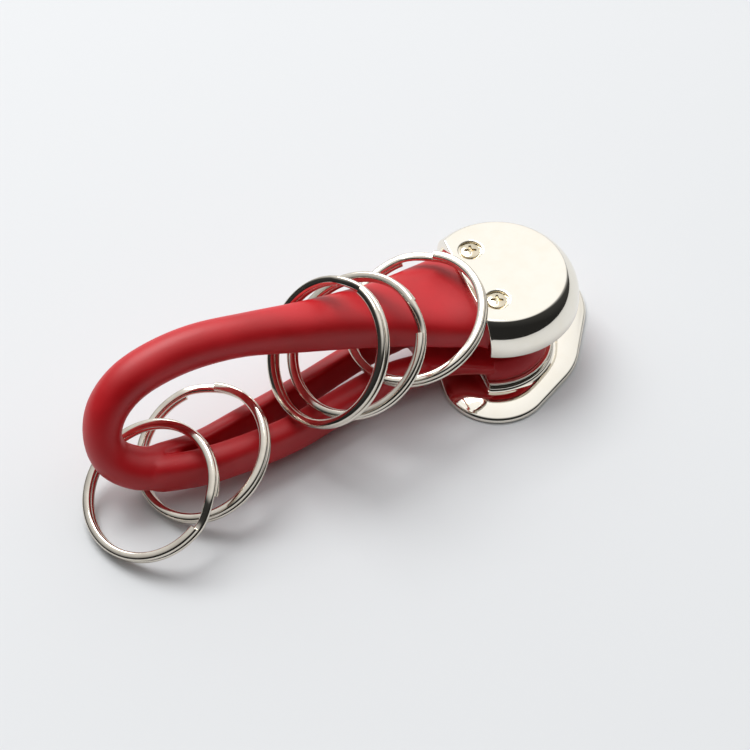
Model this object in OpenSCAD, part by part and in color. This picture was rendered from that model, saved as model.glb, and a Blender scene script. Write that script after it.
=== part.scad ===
// Loop key holder: a rubber strap folded into a loop, a metal head on its upper end,
// a metal base on its lower end and five split rings threaded on the two arms.
// Millimetres, +Z up. The base lies on Z = 0, +X runs along the upper arm to the head,
// and the origin is on the resting face below the middle of the head's straight edge.

/* [Split rings] */
// Outside diameter of the three rings on the upper arm
upper_ring_od = 25; // [24:0.5:26]
// Outside diameter of the two rings on the lower arm
lower_ring_od = 24; // [23:0.5:25]
// Radial width of the ring wire
wire_w = 1.5; // [1:0.1:1.8]
// Height of one turn of the ring wire
wire_h = 1; // [0.6:0.1:1.1]
// Arc over which the wire steps from its first turn to its second
jog_arc = 30; // [20:1:45]

/* [Strap] */
// Diameter of the round part of the strap
cord_d = 7.2; // [5.6:0.2:7.4]
// Width of the upper tongue at the head's straight edge
upper_tongue_w = 20.4; // [16:0.4:21]
// Thickness of the upper tongue at the head
upper_tongue_t = 5.6; // [4.4:0.2:5.8]
// Radius of the round end of the lower tongue
lower_tongue_r = 10; // [8:0.5:10]
// Thickness of the lower tongue
lower_tongue_t = 3.6; // [3.2:0.2:5]
// Thickness of the strand on the far side of the slot
back_strand_t = 3.4; // [2.6:0.2:4]
// Thickness of the strand on the near side of the slot
front_strand_t = 4; // [3:0.2:4.6]

/* [Head] */
// Radius of the head's flat face
face_r = 11.4; // [10.4:0.2:12]
// Radius of the head's side wall at its widest
head_r = 14; // [12.4:0.2:14.4]
// Height of the head shell
head_h = 6.5; // [6:0.25:8]
// Distance from the head's straight edge to the centre of its round edge
head_reach = 6.2; // [5:0.2:7]
// Thickness of the head's face
face_wall = 1.8; // [1.4:0.1:2.2]
// Thickness of the head's side wall
side_wall = 1.1; // [0.8:0.1:1.6]

/* [Base] */
// Radius of the base plate's near end
base_r = 9.4; // [8.4:0.2:11.4]
// Radius of the base plate halfway along
base_mid_r = 13; // [12.4:0.2:14.4]
// Radius of the base plate's far end
base_tip_r = 12.8; // [12:0.2:14]
// Distance between the centres of the base plate's two ends
base_reach = 16.8; // [14.8:0.4:18.8]
// Thickness of the base plate at its rim
rim_t = 1.2; // [0.8:0.1:1.6]
// Thickness of the base plate where its boss starts
base_t = 2.2; // [1.8:0.1:2.6]
// Radius of the boss under the lower tongue
boss_r = 10.6; // [9:0.25:11]
// Height of the boss above the base plate
boss_h = 1.6; // [1:0.1:2]

/* [Fasteners] */
// Distance between the two screws of an end
screw_pitch = 12.1; // [11:0.1:13]
// Distance from the head's straight edge to its screws
screw_inset = 3.45; // [3:0.05:4]
// Diameter of a screw's head
screw_head_d = 3.4; // [3:0.1:3.8]
// Height of a screw's head
screw_head_h = 0.8; // [0.6:0.1:0.9]
// Diameter of a screw's thread
screw_d = 2; // [1.6:0.1:2.2]
// Width of a screw's cross recess
cross_w = 2.3; // [1.8:0.1:2.5]
// Thickness of the nut plate inside each tongue
nut_plate_t = 1.4; // [1:0.1:1.6]

/* [Hidden] */

rubber = "#be0f1e";
nickel = "#cfcbc3";
steel = "#b4b0a6";
$fn = 64;

// Clearances
rubber_gap = 0.1;
screw_gap = 0.1;
turn_gap = 0.08;
counterbore_gap = 0.25;
eps = 0.01;

// Heights of the stacked pieces
head_z = 10.5;
face_z = head_z + head_h;
tongue_top_z = face_z - face_wall - rubber_gap;
boss_z = base_t + boss_h;
lower_top_z = boss_z + lower_tongue_t;

// The base lies turned under the head
base_yaw = 57.5;
base_centre = [2.6, -9.6];
boss_centre = [4.1, -3];
boss_chord = 4.1;

// Places of the nut plates inside the tongues
head_plate_z = head_z + 1.6;
base_plate_z = boss_z + 1.3;
plate_margin = 2.2;
plate_setback = 1;

// Width of the domed slope around the boss
dome_w = 2.6;
// Height of the head's straight lower lip
lip_h = 1;

// ---- Path helpers ----

// One span of a smooth curve through the stations b and c
function span(a, b, c, d, t) =
    (2 * b + (c - a) * t + (2 * a - 5 * b + 4 * c - d) * t * t
    + (3 * b - a - 3 * c + d) * t * t * t) / 2;

// A smooth run of stations through the given ones, with steps stations to a span
function smooth(stations, steps) = let (last = len(stations) - 1) [
    for (i = [0 : last - 1], k = [0 : steps - 1])
        span(stations[max(i - 1, 0)], stations[i], stations[i + 1],
            stations[min(i + 2, last)], k / steps),
    stations[last]
];

function unit(v) = v / norm(v);
function place(s) = [s[0], s[1], s[2]];
function signed_power(v, p) = sign(v) * pow(abs(v), p);

// Direction of the path at station i
function heading(stations, i) = unit(place(stations[min(i + 1, len(stations) - 1)])
    - place(stations[max(i - 1, 0)]));

// The headings at all stations, with the first and last one given
function headings(stations, first, last) = [
    for (i = [0 : len(stations) - 1])
        i == 0 ? unit(first) : i == len(stations) - 1 ? unit(last) : heading(stations, i)
];

// A section's outline as [across, outward] pairs. Flatness 0 is an ellipse, and 1 is a D
// with its flat side inward and its inner edges sharp.
function outline(w, t, flatness, sides) = let (
    outer = t * (0.5 + 0.42 * flatness),
    inner = t - outer,
    outer_p = 2 / (2 + 1.2 * flatness),
    inner_p = 2 / (2 + 8 * flatness)
) [
    for (k = [0 : sides - 1]) let (
        a = 360 * k / sides,
        s = sin(a)
    ) [
        signed_power(cos(a), s < 0 ? inner_p : outer_p) * w / 2,
        inner - t / 2 + (s < 0 ? signed_power(s, inner_p) * inner
            : signed_power(s, outer_p) * outer)
    ]
];

// Solid swept along stations of [x, y, z, width, thickness, flatness], from a plane
// square to the first heading to one square to the last. side is the direction that
// lies across the sections.
module sweep(stations, first, last, side, sides) {
    count = len(stations);
    forwards = headings(stations, first, last);
    points = [
        for (i = [0 : count - 1]) let (
            s = stations[i],
            outward = unit(cross(side, forwards[i])),
            across = cross(forwards[i], outward)
        ) for (p = outline(s[3], s[4], s[5], sides))
            place(s) + p[0] * across + p[1] * outward
    ];
    walls = [
        for (i = [0 : count - 2], k = [0 : sides - 1]) let (
            a = i * sides + k,
            b = i * sides + (k + 1) % sides
        ) each [[a, b + sides, a + sides], [a, b, b + sides]]
    ];
    near_end = [for (k = [sides - 1 : -1 : 0]) k];
    far_end = [for (k = [0 : sides - 1]) (count - 1) * sides + k];
    polyhedron(points, concat([near_end], walls, [far_end]));
}

// ---- Strap stations: [x, y, z, width, thickness, flatness] ----

// Headings of the planes where one stretch of the strap meets the next
towards_bend = [-1, 0, 0];
arm_to_bend = [-1, -0.14, -0.1];
bend_to_lower_arm = [0.9, -0.28, -0.34];
towards_base = [1, 0, 0];
root_x = -9;

upper_arm_stations = [
    [0, 0, head_z + upper_tongue_t / 2, upper_tongue_w, upper_tongue_t, 1],
    [-6, -0.2, head_z + upper_tongue_t / 2 + 0.6, 17.2, upper_tongue_t, 1],
    [-13.5, -0.9, 15.6, 13, 5.8, 0.8],
    [-21.8, -1.8, 17.8, 10, 6.4, 0.5],
    [-30, -2.6, 19.8, 8.2, 6.9, 0.2],
    [-39, -2.9, 21.4, cord_d, cord_d, 0],
    [-47.4, -3.1, 22.2, cord_d, cord_d, 0],
    [-54.2, -3.9, 21.8, cord_d, cord_d, 0]
];
bend_stations = [
    [-54.6, -3.96, 21.76, cord_d, cord_d, 0],
    [-60, -5.2, 20.3, cord_d, cord_d - 0.2, 0],
    [-63.9, -6.8, 17.2, cord_d, cord_d - 0.6, 0],
    [-65.6, -8.7, 13.2, cord_d, cord_d - 1, 0],
    [-64.8, -10.6, 9.6, cord_d, cord_d - 0.6, 0],
    [-61.5, -12, 7.2, cord_d, cord_d, 0]
];
lower_arm_stations = [
    [-61.5, -12, 7.2, cord_d, cord_d, 0],
    [-57.3, -13, 6.6, cord_d, cord_d, 0]
];
back_strand_stations = [
    [-57.3, -11.1, 6.6, 7, back_strand_t, 0.6],
    [-50.6, -10.4, 6.1, 7, back_strand_t, 0.6],
    [-42.7, -7.8, 5.6, 7, back_strand_t, 0.6],
    [-35.2, -5.2, 5, 7, back_strand_t, 0.6],
    [-28.5, -2.8, 4.8, 6.8, back_strand_t, 0.6],
    [-22, -0.5, 4.9, 6.4, back_strand_t, 0.6],
    [-16, 1, 5.3, 6, back_strand_t, 0.6],
    [root_x, 1.9, 5.6, 5, back_strand_t, 0.6]
];
front_strand_stations = [
    [-57.3, -14.8, 6.6, 7, 3.6, 0.6],
    [-51.6, -15.1, 6.1, 7, front_strand_t, 0.6],
    [-46.5, -14.8, 5.8, 7, front_strand_t, 0.6],
    [-39.8, -13.8, 5.3, 7, front_strand_t, 0.6],
    [-33.8, -12.4, 4.9, 6.9, front_strand_t, 0.6],
    [-28, -10.5, 4.8, 6.8, front_strand_t, 0.6],
    [-20, -8.1, 5, 6.4, front_strand_t, 0.6],
    [-15, -7.4, 5.3, 6, front_strand_t, 0.6],
    [root_x, -7.4, 5.6, 5, front_strand_t, 0.6]
];
lower_root_stations = [
    [root_x, -2.8, 5.6, 13.2, 5.2, 0.8],
    [-4, -2.9, 5.6, 15.4, 4.4, 1],
    [eps, boss_centre[1], boss_z + lower_tongue_t / 2, 18.2, lower_tongue_t, 1]
];

module strap_upper_arm() {
    color(rubber) sweep(smooth(upper_arm_stations, 3), towards_bend, arm_to_bend, [0, 1, 0], 24);
}

module strap_bend() {
    color(rubber) sweep(smooth(bend_stations, 3), arm_to_bend, bend_to_lower_arm, [0, 1, 0], 20);
}

module strap_lower_arm() {
    color(rubber)
        sweep(smooth(lower_arm_stations, 2), bend_to_lower_arm, towards_base, [0, 1, 0], 20);
}

module strap_back_strand() {
    color(rubber) sweep(smooth(back_strand_stations, 3), towards_base, towards_base, [0, 0, 1], 20);
}

module strap_front_strand() {
    color(rubber) sweep(smooth(front_strand_stations, 3), towards_base, towards_base, [0, 0, -1], 20);
}

// ---- Head ----

// Half profile of the head: a bulging wall under a flat face
module head_profile(inset, top) {
    bulge = head_r - face_r;
    rise = head_h - lip_h;
    arc_r = (bulge * bulge + rise * rise) / (2 * bulge);
    core_r = head_r - arc_r;
    intersection() {
        union() {
            translate([core_r, lip_h]) circle(arc_r - inset);
            square([head_r - inset, lip_h]);
            if (core_r > 0) square([core_r, top]);
        }
        square([head_r, top]);
    }
}

// Half space on the head's side of its straight edge
module head_side() {
    translate([0, -2 * head_r, head_z - head_h])
        cube([4 * head_r, 4 * head_r, 4 * head_h]);
}

module head_solid(inset, top) {
    translate([head_reach, 0, head_z]) rotate_extrude() head_profile(inset, top);
}

// Runs its children at the two screw places of the head
module at_head_screws() {
    for (side = [-1, 1])
        translate([screw_inset, side * screw_pitch / 2, 0]) children();
}

module head_shell() {
    color(nickel) difference() {
        intersection() {
            head_solid(0, head_h);
            head_side();
        }
        translate([0, 0, -eps]) head_solid(side_wall, head_h - face_wall + eps);
        at_head_screws() {
            translate([0, 0, face_z - screw_head_h])
                cylinder(h = head_h, d = screw_head_d + 2 * counterbore_gap);
            translate([0, 0, head_z]) cylinder(h = head_h, d = screw_d + 2 * screw_gap);
        }
    }
}

// Outline of the head's nut plate, grown all round
module head_plate_outline(grown) {
    intersection() {
        translate([head_reach, 0]) circle(head_r - side_wall - plate_margin + grown);
        translate([plate_setback - grown, -head_r]) square(2 * head_r);
    }
}

module strap_upper_tongue() {
    color(rubber) difference() {
        intersection() {
            head_solid(side_wall + rubber_gap, tongue_top_z - head_z);
            head_side();
        }
        translate([0, 0, head_plate_z - rubber_gap / 2])
            linear_extrude(nut_plate_t + rubber_gap) head_plate_outline(rubber_gap / 2);
        at_head_screws() translate([0, 0, head_z + 0.6])
            cylinder(h = head_h, d = screw_d + 2 * screw_gap);
    }
}

module head_nut_plate() {
    color(steel) difference() {
        translate([0, 0, head_plate_z]) linear_extrude(nut_plate_t) head_plate_outline(0);
        at_head_screws() translate([0, 0, head_z]) cylinder(h = head_h, d = screw_d + 2 * screw_gap);
    }
}

// Screw with its head's top face on Z = 0 and its thread pointing down
module screw(length) {
    cross_depth = 0.6 * screw_head_h;
    cross_t = 0.2 * cross_w;
    color(steel) difference() {
        union() {
            translate([0, 0, -screw_head_h]) cylinder(h = screw_head_h, d = screw_head_d);
            translate([0, 0, -length]) cylinder(h = length, d = screw_d);
        }
        for (turn = [0, 90]) rotate(turn)
            translate([-cross_w / 2, -cross_t / 2, -cross_depth])
                cube([cross_w, cross_t, cross_depth + eps]);
    }
}

module head_screws() {
    at_head_screws() translate([0, 0, face_z]) rotate(20) screw(face_z - head_plate_z);
}

// ---- Base ----

// Circles of radii a and b, a reach apart along x, joined by tangents
module joined_circles(a, b, reach) {
    tilt = acos((a - b) / reach);
    circle(a);
    translate([reach, 0]) circle(b);
    polygon([
        for (end = [[0, a, 1], [reach, b, 1], [reach, b, -1], [0, a, -1]])
            [end[0] + end[1] * cos(tilt), end[2] * end[1] * sin(tilt)]
    ]);
}

// Outline of the base plate: an egg of three circles joined by tangents
module base_outline(inset) {
    translate(base_centre) rotate(base_yaw) {
        joined_circles(base_r - inset, base_mid_r - inset, base_reach / 2);
        translate([base_reach / 2, 0])
            joined_circles(base_mid_r - inset, base_tip_r - inset, base_reach / 2);
    }
}

// Runs its children in the boss's own frame
module at_boss() {
    translate([boss_centre[0], boss_centre[1], 0]) children();
}

module at_base_screws() {
    at_boss() for (side = [-1, 1])
        translate([screw_inset - boss_chord, side * screw_pitch / 2, 0]) children();
}

// Straight-edged outline of radius r about the boss's centre
module boss_outline(r) {
    intersection() {
        circle(r);
        translate([-boss_chord, -2 * r]) square(4 * r);
    }
}

module base_plate() {
    color(nickel) difference() {
        union() {
            linear_extrude(rim_t) base_outline(0);
            hull() {
                translate([0, 0, rim_t - eps]) linear_extrude(eps) base_outline(0.3);
                translate([0, 0, base_t - eps]) linear_extrude(eps) base_outline(dome_w);
            }
            at_boss() linear_extrude(boss_z) boss_outline(boss_r);
        }
        at_base_screws() {
            translate([0, 0, -eps])
                cylinder(h = screw_head_h + rubber_gap + eps, d = screw_head_d + 2 * counterbore_gap);
            cylinder(h = boss_z + eps, d = screw_d + 2 * screw_gap);
        }
    }
}

module strap_lower_tongue() {
    color(rubber) difference() {
        union() {
            at_boss() translate([0, 0, boss_z])
                linear_extrude(lower_tongue_t) boss_outline(lower_tongue_r);
            sweep(smooth(lower_root_stations, 3), towards_base, towards_base, [0, 1, 0], 24);
        }
        at_boss() translate([0, 0, base_plate_z - rubber_gap / 2])
            linear_extrude(nut_plate_t + rubber_gap)
                base_plate_outline(rubber_gap / 2);
        at_base_screws() cylinder(h = base_plate_z + nut_plate_t + 0.5, d = screw_d + 2 * screw_gap);
    }
}

// Outline of the base's nut plate about the boss's centre, grown all round
module base_plate_outline(grown) {
    r = lower_tongue_r - plate_margin + grown;
    intersection() {
        circle(r);
        translate([plate_setback - boss_chord - grown, -2 * r]) square(4 * r);
    }
}

module base_nut_plate() {
    color(steel) difference() {
        at_boss() translate([0, 0, base_plate_z]) linear_extrude(nut_plate_t)
            base_plate_outline(0);
        at_base_screws() cylinder(h = head_z, d = screw_d + 2 * screw_gap);
    }
}

module base_screws() {
    at_base_screws() translate([0, 0, rubber_gap]) mirror([0, 0, 1])
        screw(base_plate_z + nut_plate_t);
}

// ---- Rings ----

// Section of the ring wire, with round inner and outer edges
module wire_section() {
    square([wire_w - wire_h, wire_h], center = true);
    for (side = [-1, 1]) translate([side * (wire_w - wire_h) / 2, 0]) circle(d = wire_h);
}

module wire_arc(r, arc) {
    rotate_extrude(angle = arc) translate([r, 0]) wire_section();
}

// Two turns of wire, joined by a stretch that climbs from the first to the second
module split_ring(od) {
    r = (od - wire_w) / 2;
    pitch = wire_h + turn_gap;
    overlap = 1.5;
    climb = asin(pitch / 2 / (r * sin(jog_arc / 2)));
    color(nickel) {
        for (level = [-1, 1])
            translate([0, 0, level * pitch / 2]) wire_arc(r, 360 - jog_arc);
        rotate(-jog_arc / 2) rotate([climb, 0, 0]) rotate(-jog_arc / 2 - overlap)
            wire_arc(r, jog_arc + 2 * overlap);
    }
}

// A ring centred on a place, its axis at azimuth and elevation, its ends turned by turn
module posed_ring(od, centre, azimuth, elevation, turn) {
    translate(centre) rotate(azimuth) rotate([0, 90 - elevation, 0]) rotate(turn) split_ring(od);
}

// [outside diameter, centre, azimuth and elevation of the axis, turn of the wire's ends]
ring_poses = [
    [lower_ring_od, [-60.5, -16.6, 6.5], -161, 62, 126],
    [lower_ring_od, [-50.4, -12.1, 6.5], -162, 62, -113],
    [upper_ring_od, [-27.4, -8.6, 18.6], -167, 41, -143],
    [upper_ring_od, [-22, -7.3, 16.7], -160, 55, 166],
    [upper_ring_od, [-10, -3.3, 14.6], -168, 66, -112]
];

module ring(index) {
    pose = ring_poses[index];
    posed_ring(pose[0], pose[1], pose[2], pose[3], pose[4]);
}

strap_upper_tongue();
strap_upper_arm();
strap_bend();
strap_lower_arm();
strap_back_strand();
strap_front_strand();
strap_lower_tongue();
head_shell();
head_nut_plate();
head_screws();
base_plate();
base_nut_plate();
base_screws();
ring(0);  // ring_1
ring(1);  // ring_2
ring(2);  // ring_3
ring(3);  // ring_4
ring(4);  // ring_5
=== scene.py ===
"""Looks of a loop key holder: a rubber strap, polished metal ends, screws and split rings.

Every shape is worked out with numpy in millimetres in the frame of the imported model, and
is turned to metres when its mesh is made.
"""

import logging
import math
from collections.abc import Iterable, Sequence
from dataclasses import dataclass, field
from enum import Enum

import bmesh
import bpy
import numpy as np
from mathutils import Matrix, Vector

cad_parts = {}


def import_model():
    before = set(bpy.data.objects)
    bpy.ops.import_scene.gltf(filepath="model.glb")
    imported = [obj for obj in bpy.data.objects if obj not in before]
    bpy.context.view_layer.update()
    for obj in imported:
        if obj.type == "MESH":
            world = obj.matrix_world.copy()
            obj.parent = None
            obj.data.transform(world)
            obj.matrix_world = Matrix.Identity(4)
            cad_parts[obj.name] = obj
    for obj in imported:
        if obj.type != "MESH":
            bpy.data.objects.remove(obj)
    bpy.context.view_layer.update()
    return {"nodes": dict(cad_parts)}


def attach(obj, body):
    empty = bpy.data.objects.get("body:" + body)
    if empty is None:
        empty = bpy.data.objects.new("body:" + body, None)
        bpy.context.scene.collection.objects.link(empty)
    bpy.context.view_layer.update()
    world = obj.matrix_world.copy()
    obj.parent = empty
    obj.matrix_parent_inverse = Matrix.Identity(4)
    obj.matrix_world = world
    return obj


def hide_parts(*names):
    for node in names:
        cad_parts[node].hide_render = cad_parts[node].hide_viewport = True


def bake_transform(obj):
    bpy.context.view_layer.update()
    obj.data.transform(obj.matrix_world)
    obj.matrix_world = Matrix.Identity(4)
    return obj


MM = 0.001
CHUNK = 8000  # points measured at a time, to spare memory
log = logging.getLogger("loop_key_holder")


class Body(str, Enum):
    """The rigid bodies that pieces ride on."""

    LOWER = "lower_half"
    UPPER = "upper_half"


class Slot(str, Enum):
    """The record's material slots."""

    RUBBER = "rubber"
    PLATING = "plating"
    RING = "ring_plating"
    STEEL = "screw_steel"


# ---- Colours and node helpers ----


def linear(hex_colour: str) -> tuple[float, float, float, float]:
    """Turn an sRGB hex colour to linear light.

    Args:
        hex_colour: six hex digits after a hash sign.

    Returns:
        Linear red, green and blue, and alpha 1.
    """
    values = [int(hex_colour[i : i + 2], 16) / 255 for i in (1, 3, 5)]
    red, green, blue = (
        v / 12.92 if v <= 0.04045 else ((v + 0.055) / 1.055) ** 2.4 for v in values
    )
    return red, green, blue, 1.0


def add_node(
    tree: bpy.types.NodeTree, kind: str, settings: dict | None = None, inputs: dict | None = None
) -> bpy.types.Node:
    """Add one node with its settings and its inputs.

    Args:
        tree: the node tree.
        kind: the node's type name.
        settings: attributes of the node.
        inputs: input sockets by name or number, each a constant or an output socket.

    Returns:
        The new node.
    """
    node = tree.nodes.new(kind)
    for name, value in (settings or {}).items():
        setattr(node, name, value)
    for name, value in (inputs or {}).items():
        if isinstance(value, bpy.types.NodeSocket):
            tree.links.new(value, node.inputs[name])
        else:
            node.inputs[name].default_value = value
    return node


def new_finish(
    name: str,
) -> tuple[bpy.types.Material, bpy.types.Node, bpy.types.NodeSocket]:
    """Start a material.

    Args:
        name: the material's name.

    Returns:
        The material, its shader and the object coordinates.
    """
    material = bpy.data.materials.new(name)
    material.use_nodes = True
    tree = material.node_tree
    place = add_node(tree, "ShaderNodeTexCoord").outputs["Object"]
    return material, tree.nodes["Principled BSDF"], place


def relief(
    height: bpy.types.Node,
    strength: float,
    depth_mm: float,
    normal: bpy.types.NodeSocket | None = None,
) -> bpy.types.NodeSocket:
    """Turn a noise to relief.

    Args:
        height: the noise.
        strength: share of the relief that shows.
        depth_mm: its depth.
        normal: the relief that it lies on.

    Returns:
        The bent normal.
    """
    inputs = {"Height": height.outputs["Fac"], "Strength": strength, "Distance": depth_mm * MM}
    if normal:
        inputs["Normal"] = normal
    return add_node(height.id_data, "ShaderNodeBump", {}, inputs).outputs[0]


def noise(
    tree: bpy.types.NodeTree, place: bpy.types.NodeSocket, size_mm: float, detail: float
) -> bpy.types.Node:
    """Add a noise whose features are about size_mm across.

    Args:
        tree: the node tree.
        place: the coordinates it reads.
        size_mm: size of its features.
        detail: number of finer layers.

    Returns:
        The new node.
    """
    inputs = {"Vector": place, "Scale": 1 / (size_mm * MM), "Detail": detail}
    return add_node(tree, "ShaderNodeTexNoise", {}, inputs)


def map_range(
    tree: bpy.types.NodeTree,
    value: bpy.types.NodeSocket,
    source: tuple[float, float],
    target: tuple[float, float],
) -> bpy.types.Node:
    """Add a node that maps one span of values to another.

    Args:
        tree: the node tree.
        value: the value to map.
        source: the span it is read from.
        target: the span it is mapped to.

    Returns:
        The new node.
    """
    inputs = {"Value": value, 1: source[0], 2: source[1], 3: target[0], 4: target[1]}
    return add_node(tree, "ShaderNodeMapRange", {}, inputs)


def set_ramp(node: bpy.types.Node, colours: Iterable[tuple[float, tuple]]) -> None:
    """Set a colour ramp's stops.

    Args:
        node: the Color Ramp node.
        colours: positions and linear colours, in order.
    """
    stops = list(colours)
    elements = node.color_ramp.elements
    while len(elements) < len(stops):
        elements.new(0.5)
    for element, (position, colour) in zip(elements, stops):
        element.position = position
        element.color = colour


def grey(value: float) -> tuple[float, float, float, float]:
    """Give a linear grey."""
    return value, value, value, 1.0


# ---- Finishes ----


@dataclass(frozen=True)
class SatinRubber:
    """Moulded rubber, satin from its fine-blasted mould.

    Moulding leaves a soft grain and a wide, soft highlight, and handling leaves
    slightly shinier patches and a few specks of dust.
    """

    name: str = "satin_moulded_rubber_red"
    deep: str = "#b80712"
    light: str = "#c80d1a"
    dust: str = "#d46a6c"
    roughness: tuple[float, float] = (0.38, 0.5)
    patch_mm: float = 9.0
    grain_mm: float = 0.35  # real grit is about 0.05 mm, drawn coarser so that it shows
    dust_mm: float = 0.9
    tint_span: tuple[float, float] = (0.35, 0.65)
    shine_span: tuple[float, float] = (0.3, 0.7)
    speck_rim: tuple[float, float] = (0.035, 0.06)
    dusty_above: float = 0.6
    grain_strength: float = 0.18
    grain_depth_mm: float = 0.03
    ior: float = 1.52

    def build(self) -> bpy.types.Material:
        """Make the material."""
        material, shader, place = new_finish(self.name)
        tree = material.node_tree
        patches = noise(tree, place, self.patch_mm, 4.0)
        grain = noise(tree, place, self.grain_mm, 2.0)
        specks = add_node(
            tree, "ShaderNodeTexVoronoi", {}, {"Vector": place, "Scale": 1 / (self.dust_mm * MM)}
        )
        tint = add_node(tree, "ShaderNodeValToRGB", {}, {"Fac": patches.outputs["Fac"]})
        set_ramp(tint, zip(self.tint_span, (linear(self.deep), linear(self.light))))
        dots = add_node(tree, "ShaderNodeValToRGB", {}, {"Fac": specks.outputs["Distance"]})
        set_ramp(dots, zip(self.speck_rim, (grey(1), grey(0))))
        dusty = add_node(
            tree,
            "ShaderNodeMath",
            {"operation": "GREATER_THAN"},
            {0: patches.outputs["Fac"], 1: self.dusty_above},
        )
        amount = add_node(
            tree,
            "ShaderNodeMath",
            {"operation": "MULTIPLY"},
            {0: dots.outputs["Color"], 1: dusty.outputs[0]},
        )
        colour = add_node(
            tree,
            "ShaderNodeMix",
            {"data_type": "RGBA"},
            {0: amount.outputs[0], 6: tint.outputs["Color"], 7: linear(self.dust)},
        )
        shine = map_range(tree, patches.outputs["Fac"], self.shine_span, self.roughness)
        bump = relief(grain, self.grain_strength, self.grain_depth_mm)
        tree.links.new(colour.outputs[2], shader.inputs["Base Color"])
        tree.links.new(shine.outputs[0], shader.inputs["Roughness"])
        tree.links.new(bump, shader.inputs["Normal"])
        shader.inputs["IOR"].default_value = self.ior
        return material


@dataclass(frozen=True)
class BrightMetal:
    """Bright or brushed metal, from polished nickel plate to turned steel.

    Polishing leaves faint waves that bend reflections, and use leaves hairline
    scratches and hazy patches that blur them a little.
    """

    name: str
    colour: str
    shade: str
    roughness: tuple[float, float]
    wave_mm: float = 5.0
    wave_depth_mm: float = 0.004
    haze_mm: float = 3.0
    scratch_mm: float = 0.25  # real scratches are finer, drawn wider so that they show
    scratch_depth_mm: float = 0.0015
    scratch_strength: float = 0.5
    scratch_turn: tuple[float, float, float] = (0.2, 0.1, 0.6)
    scratch_stretch: tuple[float, float, float] = (1, 0.06, 0.4)
    tint_span: tuple[float, float] = (0.3, 0.6)
    shine_span: tuple[float, float] = (0.3, 0.75)

    def build(self) -> bpy.types.Material:
        """Make the material."""
        material, shader, place = new_finish(self.name)
        tree = material.node_tree
        haze = noise(tree, place, self.haze_mm, 5.0)
        waves = noise(tree, place, self.wave_mm, 1.0)
        stretched = add_node(
            tree,
            "ShaderNodeMapping",
            {},
            {"Vector": place, "Rotation": self.scratch_turn, "Scale": self.scratch_stretch},
        )
        scratches = noise(tree, stretched.outputs[0], self.scratch_mm, 2.0)
        tint = add_node(tree, "ShaderNodeValToRGB", {}, {"Fac": haze.outputs["Fac"]})
        set_ramp(tint, zip(self.tint_span, (linear(self.shade), linear(self.colour))))
        shine = map_range(tree, haze.outputs["Fac"], self.shine_span, self.roughness)
        swell = relief(waves, 1.0, self.wave_depth_mm)
        bump = relief(scratches, self.scratch_strength, self.scratch_depth_mm, swell)
        tree.links.new(tint.outputs["Color"], shader.inputs["Base Color"])
        tree.links.new(shine.outputs[0], shader.inputs["Roughness"])
        tree.links.new(bump, shader.inputs["Normal"])
        shader.inputs["Metallic"].default_value = 1.0
        return material


@dataclass(frozen=True)
class Paper:
    """Matt pale paper that the holder lies on."""

    name: str = "matt_pale_paper"
    colour: str = "#dfe1e3"
    roughness: float = 0.75
    fibre_mm: float = 2.0
    fibre_strength: float = 0.05
    fibre_depth_mm: float = 0.02

    def build(self) -> bpy.types.Material:
        """Make the material."""
        material, shader, place = new_finish(self.name)
        tree = material.node_tree
        fibre = noise(tree, place, self.fibre_mm, 3.0)
        bump = relief(fibre, self.fibre_strength, self.fibre_depth_mm)
        tree.links.new(bump, shader.inputs["Normal"])
        shader.inputs["Base Color"].default_value = linear(self.colour)
        shader.inputs["Roughness"].default_value = self.roughness
        return material


# ---- Mesh helpers ----


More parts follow.
